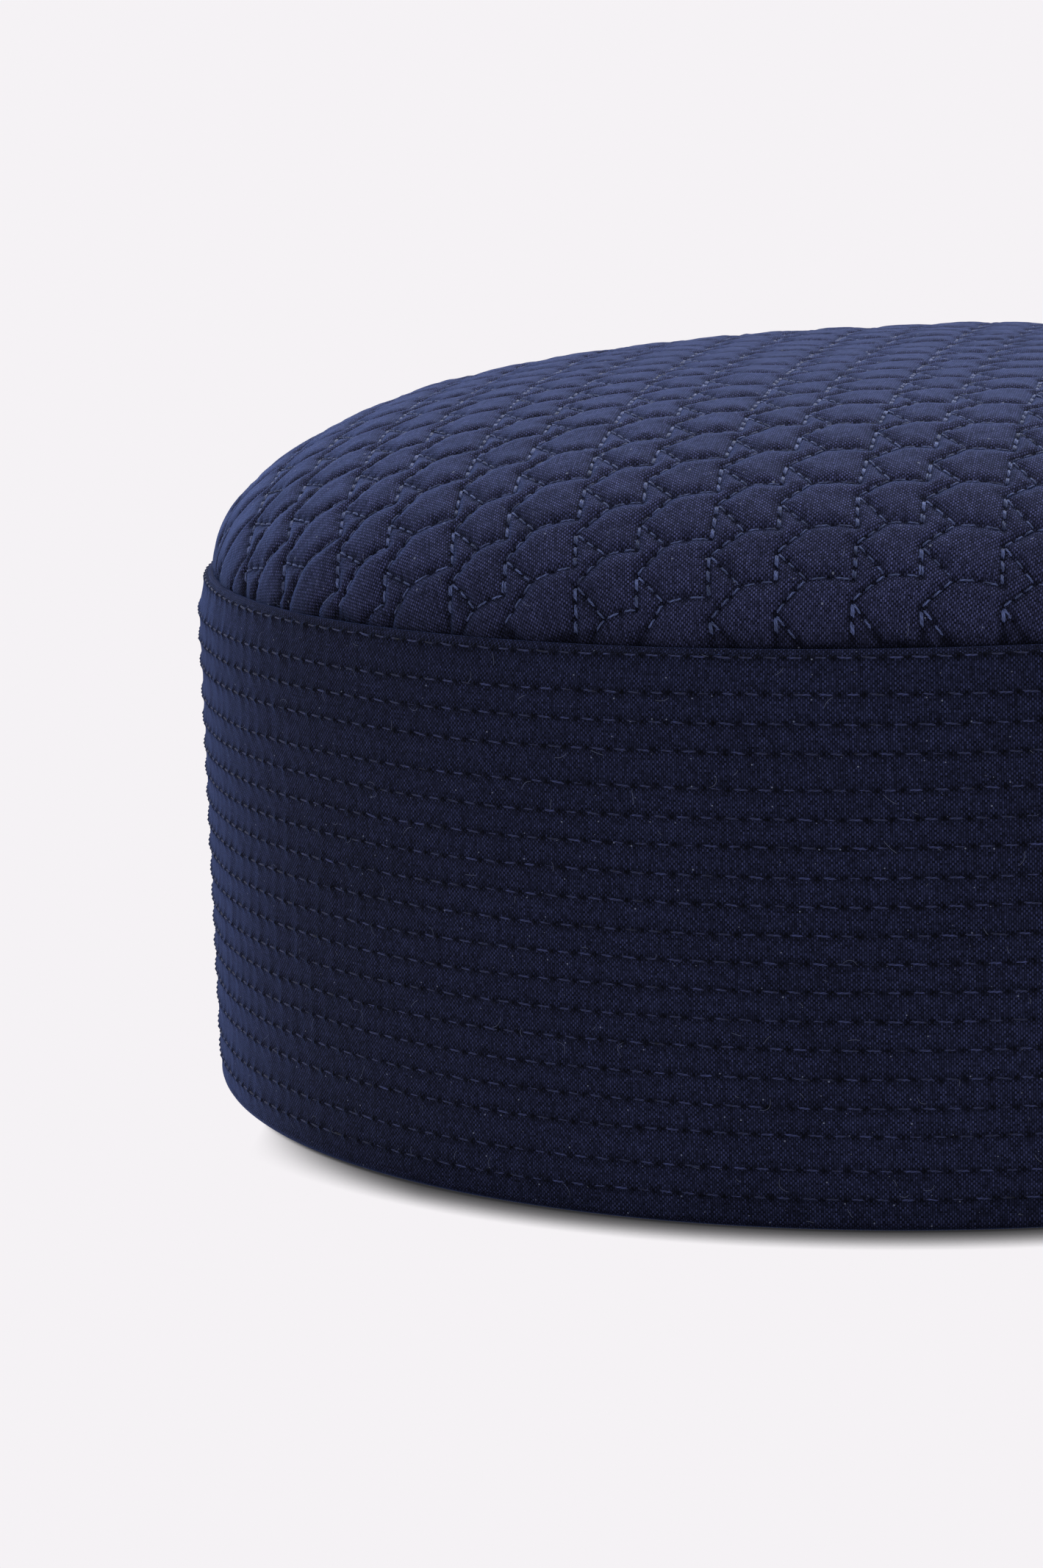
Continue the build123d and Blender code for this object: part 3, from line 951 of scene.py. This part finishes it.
def lengthAlong(u, v):
    # The table's length at (u, v), read between its four nearest entries.
    i = np.clip(np.abs(u) / tableU[1], 0, len(tableU) - 1.001)
    j = np.clip(np.abs(v) / tableV[1], 0, len(tableV) - 1.001)
    i0, j0 = i.astype(int), j.astype(int)
    fi, fj = i - i0, j - j0
    low = tableLength[i0, j0] * (1 - fj) + tableLength[i0, j0 + 1] * fj
    high = tableLength[i0 + 1, j0] * (1 - fj) + tableLength[i0 + 1, j0 + 1] * fj
    return np.sign(v) * (low * (1 - fi) + high * fi)


def placeAlong(u, length):
    # The inverse: the v that has this length, by halving the interval.
    low, high = np.zeros_like(u), np.full_like(u, dome["radius"])
    target = np.abs(length)
    for _ in range(26):
        middle = (low + high) / 2
        short = lengthAlong(u, middle) < target
        low, high = np.where(short, middle, low), np.where(short, high, middle)
    return np.sign(length) * (low + high) / 2


def cellLines():
    # One pair of columns, one pitch long, as (start, end) in metres from the narrow column's fork.
    # From each fork two slanting lines go right, to level lines that lie between the forks. On
    # the next line an upright stretch joins the level line's end to that line's own fork.
    pitch, bow = quilt["pitch"], quilt["bow"]
    lines, uprights = [], []
    left, fork = 0, 0
    for column in ("narrow", "wide"):
        width = quilt[column]
        right, nextFork = left + width, fork + quilt[column + "Step"]
        level = fork - quilt[column + "Level"] * pitch
        kink = left + quilt[column + "Kink"] * width
        middle = (kink + right) / 2
        lines += [
            ((left, fork), (kink, level + pitch)),
            ((left, fork), (kink, level)),
            ((kink, level), (middle, level + bow)),
            ((middle, level + bow), (right, level)),
        ]
        uprights.append(((right, nextFork), (right, level)))
        left, fork = right, nextFork
    return np.array(lines), np.array(uprights)


def quiltField(u, w):
    # Distance from each place to the nearest stitched line, and how near it is to a needle hole.
    u, w = easedIn(u, w)
    pair = np.floor((u - quilt["start"]) / pairWidth)
    x = u - quilt["start"] - pair * pairWidth
    y = (w - quilt["phase"] - pair * pairStep) % quilt["pitch"]
    lines, uprights = cellLines()
    before = uprights[1] - np.array([pairWidth, pairStep])
    every = np.concatenate([lines, uprights, before[None]])
    nearest = np.full_like(u, 1.0)
    holes = np.zeros_like(u)
    for start, end in every:
        run = end - start
        length = np.hypot(*run)
        stitches = max(1, round(length / quilt["stitch"]))
        for shift in (0, 1, 2):
            dx, dy = x - start[0], y - start[1] - shift * quilt["pitch"]
            t = np.clip((dx * run[0] + dy * run[1]) / length**2, 0, 1)
            gap = np.hypot(dx - t * run[0], dy - t * run[1])
            nearest = np.minimum(nearest, gap)
            toHole = (t * stitches - np.round(t * stitches)) * length / stitches
            hole = np.exp(-((gap / quilt["holeAcross"]) ** 2) - (toHole / quilt["holeAlong"]) ** 2)
            holes = np.maximum(holes, hole)
    return nearest, holes


def easedIn(u, w):
    # From a place on the crown to the place in the pattern as it was drawn: near the edge the
    # cloth was eased into the band, which pushed the pattern in and twisted it a little, and
    # everywhere the needle strayed.
    far = np.maximum(np.hypot(u, w), 1e-6)
    share = np.clip((far - quilt["shrinkFrom"]) / quilt["shrinkOver"], 0, 1)
    grow = 1 + quilt["edgeShrink"] * share**2 * (3 - 2 * share) / far
    turned = np.clip((far - quilt["twistFrom"]) / quilt["twistOver"], 0, 1.3)
    twist = quilt["edgeTwist"] * turned / far
    c, s = grow * np.cos(twist), grow * np.sin(twist)
    strayU = crumple(u, w, 61, 14 * mm, quilt["stray"])
    strayW = crumple(u, w, 62, 12 * mm, quilt["stray"])
    return u * c + w * s - strayU, w * c - u * s - strayW


def easedOut(u, w):
    # The inverse, by correcting a first guess until it fits.
    placeU, placeW = u, w
    for _ in range(6):
        tryU, tryW = easedIn(placeU, placeW)
        placeU, placeW = placeU + u - tryU, placeW + w - tryW
    return placeU, placeW


def puffRise(gap):
    # 1 - (1 - d) ** puffPower, d the distance from the nearest line counted in puffReach.
    return 1 - (1 - np.clip(gap / quilt["puffReach"], 0, 1)) ** quilt["puffPower"]


def puffLift(gap, holes, puff):
    # A cell's rise, less the valley, and less the crease and the holes at its lines.
    crease = quilt["crease"] * bell(gap, quilt["creaseWidth"])
    return puff * puffRise(gap) - quilt["valley"] - crease - quilt["hole"] * holes


def toLines(x, y):
    # Plan place turned so that the second number runs along the quilting's columns.
    c, s = np.cos(quilt["lean"]), np.sin(quilt["lean"])
    return x * c + y * s, -x * s + y * c


def fromLines(u, v):
    # The inverse of the same turn.
    c, s = np.cos(quilt["lean"]), np.sin(quilt["lean"])
    return u * c - v * s, u * s + v * c


def discGrid(count):
    # A square grid bent into a disc: each square ring becomes a circle, with even angles. Gives
    # each point's share of the disc's radius, and its angle.
    a, b = np.meshgrid(np.linspace(-1, 1, count), np.linspace(-1, 1, count))
    sideways = np.abs(a) >= np.abs(b)
    longer, shorter = np.where(sideways, a, b), np.where(sideways, b, a)
    swing = np.pi / 4 * shorter / np.where(longer == 0, 1, longer)
    angle = np.where(sideways, swing, np.pi / 2 - swing) + np.where(longer < 0, np.pi, 0)
    return np.abs(longer), angle


def domeGrid(count, radius, rise):
    # Radius, height and length at even steps along the dome's profile, with an upright skirt at
    # its edge, and each point's angle.
    share, angle = discGrid(count)
    t = np.linspace(0, np.pi / 2, 1200)
    r = radius * np.sin(t) ** (2 / dome["edgePower"])
    z = rise * np.cos(t) ** (2 / dome["topPower"])
    r, z = np.append(r, r[-1]), np.append(z, -dome["skirt"])
    path = np.concatenate([[0], np.hypot(np.diff(r), np.diff(z)).cumsum()])
    place = share * path[-1]
    return np.interp(place, path, r), np.interp(place, path, z), place, angle


def crownSwell(u, w):
    # The whole crown stands up by swell, and by swellChange more or less every few centimetres.
    return quilt["swell"] + crumple(u, w, 73, quilt["swellLength"], quilt["swellChange"])


def domePoints(r, z, angle, radius, rise, lift):
    # Places on a dome moved out along its normal.
    x, y = r * np.cos(angle), r * np.sin(angle)
    normal = domeNormal(x, y, np.maximum(z, 0), radius, rise)
    return np.stack([x, y, seamHeight + z], -1) + normal * np.asarray(lift)[..., None]


def clothPlace(place, angle):
    # The weave lies square to the quilting's columns.
    leaned = angle - quilt["lean"]
    return np.stack([place * np.cos(leaned), place * np.sin(leaned)], -1)


def domeShell(name, surface, grid, lift, behind, paintedShade, flip):
    # A quilted cloth: the side that shows is lifted point by point, and the other is plain.
    r, z, place, angle = grid
    fine = domePoints(r, z, angle, surface["radius"], surface["rise"], lift)
    cloth = clothPlace(place, angle)
    r, z, place, angle = domeGrid(len(r) // 4 + 1, **surface)
    coarse = domePoints(r, z, angle, surface["radius"], surface["rise"], behind)
    return closedShell(name, fine, coarse, cloth, clothPlace(place, angle), paintedShade, flip)


def makeCrownCloth():
    # Puffs of uneven height, with a fine crumple and the slow swell, all dying away in the seam.
    grid = domeGrid(quilt["grid"], **upperDome)
    r, z, place, angle = grid
    u, v = toLines(r * np.cos(angle), r * np.sin(angle))
    w = lengthAlong(u, v)
    gap, holes = quiltField(u, w)
    lift = puffLift(gap, holes, quilt["puff"] * (1 + crumple(u, w, 71, 9 * mm, 0.12)))
    lift = lift + crumple(u, w, 72, 2.6 * mm, 0.022 * mm) + crownSwell(u, w)
    lift = lift * np.clip((z + quilt["seamOver"]) / quilt["seamOver"], 0, 1)
    # Painted shade in the needle holes, along and beside the lines, in the seam and up the slope.
    paintedShade = holes
    for share, width in (crownPaintedShade["line"], crownPaintedShade["besideLine"]):
        paintedShade = paintedShade + share * bell(gap, width)
    for share, width in (crownPaintedShade["seam"], crownPaintedShade["slope"]):
        paintedShade = paintedShade + share * np.exp(-np.maximum(z, 0) / width)
    paintedShade = np.clip(paintedShade, 0, 1)
    return domeShell("crown_cloth", upperDome, grid, lift, -cap["cloth"], paintedShade, False)


def makeCrownBacking():
    # The cloth under the filling. It shows from below, and bulges down between the stitches.
    grid = domeGrid(backing["grid"], **lowerDome)
    r, z, place, angle = grid
    u, v = toLines(r * np.cos(angle), r * np.sin(angle))
    gap, holes = quiltField(u, lengthAlong(u, v))
    sag = backing["sag"] * puffRise(gap) - backing["hole"] * holes
    sag = sag * np.clip(z / backing["seamOver"], 0, 1)
    # Painted shade in the needle holes and along the stitched lines underneath.
    share, width = crownPaintedShade["underLine"]
    paintedShade = np.clip(holes + share * bell(gap, width), 0, 1)
    return domeShell("crown_backing_cloth", lowerDome, grid, -sag, backing["thick"], paintedShade, True)


def crownStitchPlaces():
    # Starts and ends of every stitch of the quilting, as places (u, w) on the cloth. The upright
    # stretches are sewn twice, side by side.
    lines, uprights = cellLines()
    beside = np.array([0.09 * mm, 0])
    every = [(line, 0) for line in lines] + [(line - beside, 0) for line in uprights]
    every += [(line + beside, 0.12) for line in uprights]
    starts, ends = [], []
    for (start, end), offset in every:
        stitches = max(1, round(np.hypot(*(end - start)) / quilt["stitch"]))
        steps = np.arange(stitches + 1)
        moved = steps + offset * (steps % stitches > 0)
        cuts = np.clip(moved / stitches, 0, 1)
        places = start + (end - start) * cuts[:, None]
        starts.append(places[:-1])
        ends.append(places[1:])
    starts, ends = np.concatenate(starts), np.concatenate(ends)
    # Enough pairs of columns, and cells along them, to go past the crown's edge everywhere.
    pairs = np.arange(-7, 7)[:, None, None, None]
    cells = np.arange(-14, 15)[None, :, None, None]
    origin = np.concatenate([
        quilt["start"] + pairs * pairWidth + 0 * cells,
        quilt["phase"] + pairs * pairStep + cells * quilt["pitch"],
    ], -1)
    return (origin + starts).reshape(-1, 2), (origin + ends).reshape(-1, 2)


def crownFloats(side, surface, groove, lowest):
    # Each float is a short line on the cloth, lifted between its two needle holes by its rise
    # less the groove. side is 1 on top of the crown and -1 underneath, on the lower dome. Floats
    # that come lower than lowest, in the seam, are left out.
    start, end = crownStitchPlaces()
    rng = np.random.default_rng(81 if side > 0 else 82)
    shares = np.array([0.09, 0.26, 0.74, 0.91])
    rise = np.array([-0.20, 0.10, 0.10, -0.20]) * mm
    flat = start[:, None] + (end - start)[:, None] * shares[:, None]
    flat = flat + rng.normal(0, quilt["scatter"], (len(flat), 1, 2))
    u, w = easedOut(flat[..., 0], flat[..., 1])
    edge = 0.9995 * dome["radius"]  # a little inside the crown's edge, where its side is steep
    reach = lengthAlong(u, np.sqrt(np.maximum(edge**2 - u**2, 0)))
    inside = (np.abs(u) < 0.985 * edge).all(1) & (np.abs(w) < reach).all(1)
    u, w = u[inside], w[inside]
    x, y = fromLines(u, placeAlong(u, w))
    height = domeHeight(np.hypot(x, y), **surface)
    kept = (height > lowest).all(1)
    x, y, height, u, w = (value[kept] for value in (x, y, height, u, w))
    normal = domeNormal(x, y, height, **surface)
    loose = 1 + rng.normal(0, 0.25, (len(x), 1))
    lift = side * (rise * np.where(rise > 0, loose, 1) - groove)
    if side > 0:
        lift = lift + crownSwell(u, w)
    centre = np.stack([x, y, seamHeight + height], -1) + normal * lift[..., None]
    return centre, side * normal


crownPiece = finishPiece(makeCrownCloth(), crownCloth, "crown_cloth", "crown_shell")
print("crown cloth made:", len(crownPiece.data.polygons), "faces")

centre, outward = crownFloats(1, upperDome, quilt["valley"] + quilt["crease"], 0.4 * mm)
piece = threadPiece("crown_stitches", centre, outward, quilt["threadRadius"], 5)
finishPiece(piece, crownThread, "crown_thread", "crown_quilt_thread")
print("crown stitches made:", len(centre))

underside = finishPiece(makeCrownBacking(), innerCloth, "lining_cloth", "crown_backing")
backingCut = 2 * domeGrid(3, **lowerDome)[2].max()  # a disc, eased in at its edge
centre, outward = crownFloats(-1, lowerDome, 0, 1.5 * mm)
piece = threadPiece("crown_understitches", centre, outward, quilt["underRadius"], 4)
finishPiece(piece, bandThread, "under_thread", "crown_quilt_underthread")
print("crown's underside made:", len(underside.data.polygons), "faces")


studio = {
    "background": (0.913, 0.888, 0.913, 1),  # what the camera sees, and the floor's own tone
    "sideLight": 0.38,  # light from level directions
    "topLight": 0.75,  # added straight above
    "backLight": 1.1,  # added from behind
    "leftShade": 0.6,  # taken away from above on the left
    "sunStrength": 1.6,
    "sunWidth": 0.9,  # radians; wide makes soft light
    "sunFrom": (0.25, 0.62, 0.74),  # the direction that it shines from
    "shadowReach": 7 * mm,  # how far the soft shadow round the rim goes
    "shadowDepth": 4.5,  # the higher, the darker
    "shadowColor": (0.03, 0.03, 0.032, 1),
    "shadowFade": 0.022,  # in metres: it grows to full depth over this distance towards +X,
    "shadowFrom": 3.65,  # from x = -shadowFrom * shadowFade on
    "floorSize": 3.0,
    "floorDrop": 0.02 * mm,  # under the rim, so that the two don't touch
}

camera = {
    "place": (0, -0.5762, 0.1389),
    "pan": -0.0891,  # radians, as are the next two
    "pitch": 0.1807,
    "roll": -0.0378,
    "lens": 107.66,
    "sensor": 36,
}


def makeCamera():
    # Looks along forward; right and up are turned by the roll.
    pan, pitch, roll = camera["pan"], camera["pitch"], camera["roll"]
    forward = np.array([np.sin(pan) * np.cos(pitch), np.cos(pan) * np.cos(pitch), -np.sin(pitch)])
    level = np.cross(forward, (0, 0, 1))
    level /= np.linalg.norm(level)
    upright = np.cross(level, forward)
    right = level * np.cos(roll) + upright * np.sin(roll)
    up = -level * np.sin(roll) + upright * np.cos(roll)
    data = bpy.data.cameras.new("camera")
    data.lens = camera["lens"]
    data.sensor_width = camera["sensor"]
    data.clip_start = 0.01
    thing = bpy.data.objects.new("camera", data)
    columns = np.stack([right, up, -forward], 1)
    thing.matrix_world = Matrix.Translation(camera["place"]) @ Matrix(columns.tolist()).to_4x4()
    bpy.context.scene.collection.objects.link(thing)
    bpy.context.scene.camera = thing


def makeFloor():
    # A pale light table: it glows evenly, with a painted contact shadow only close to where something
    # stands on it, which fades out towards -X. Its underside is clear, so that the cap can be looked at
    # from below.
    size, low = studio["floorSize"], -studio["floorDrop"]
    points = np.array([(-size, -size, low), (size, -size, low), (size, size, low), (-size, size, low)])
    floor = meshFromFaces("floor", points, [np.array([[0, 1, 2, 3]])])
    material, tree, shader = newMaterial("paleFloor")
    # Painted contact shadow: ambient occlusion darkens the glow near the rim, less so towards -X.
    inputs = {"Distance": studio["shadowReach"]}
    near = addNode(tree, "AmbientOcclusion", inputs, samples=16).outputs["AO"]
    across = axesOf(tree, addNode(tree, "TexCoord").outputs["Object"])[0]
    lit = calc(tree, "MULTIPLY_ADD", across, 1 / studio["shadowFade"], studio["shadowFrom"], clamp=True)
    dark = calc(tree, "POWER", near, calc(tree, "MULTIPLY", lit, studio["shadowDepth"]))
    backside = addNode(tree, "NewGeometry").outputs["Backfacing"]
    plug(tree, shader, {
        "Emission Color": blendColor(tree, dark, studio["shadowColor"], studio["background"]),
        "Emission Strength": 1.0,
        "Alpha": calc(tree, "SUBTRACT", 1.0, backside),
        "Base Color": (0, 0, 0, 1),
        "Roughness": 1.0,
        "Specular IOR Level": 0.0,
    })
    floor.data.materials.append(material)


def makeLights():
    # Light from every level direction, with more from above and behind, and less from above on
    # the left: sideLight + topLight * up + backLight * back - leftShade * left * up.
    world = bpy.data.worlds.new("studio")
    world.use_nodes = True
    tree = world.node_tree
    background = tree.nodes["Background"]
    direction = addNode(tree, "TexCoord").outputs["Generated"]
    axes = axesOf(tree, direction)
    above = calc(tree, "MAXIMUM", axes[2], 0.0)
    behind = calc(tree, "MAXIMUM", axes[1], 0.0)
    light = calc(tree, "MULTIPLY_ADD", above, studio["topLight"], studio["sideLight"])
    light = calc(tree, "MULTIPLY_ADD", behind, studio["backLight"], light)
    left = calc(tree, "MAXIMUM", calc(tree, "MULTIPLY", axes[0], -1.0), 0.0)
    shade = calc(tree, "MULTIPLY", left, above)
    light = calc(tree, "MULTIPLY_ADD", shade, -studio["leftShade"], light)
    seen = addNode(tree, "LightPath").outputs["Is Camera Ray"]
    color = blendColor(tree, seen, greyOf(tree, light), studio["background"])
    tree.links.new(color, background.inputs["Color"])
    bpy.context.scene.world = world
    data = bpy.data.lights.new("softSun", "SUN")
    data.energy = studio["sunStrength"]
    data.angle = studio["sunWidth"]
    light = bpy.data.objects.new("softSun", data)
    light.rotation_mode = "QUATERNION"
    light.rotation_quaternion = Vector(studio["sunFrom"]).to_track_quat("Z", "Y")
    bpy.context.scene.collection.objects.link(light)


makeCamera()
makeFloor()
makeLights()
bpy.context.scene.view_settings.view_transform = "Standard"
print("stage made")
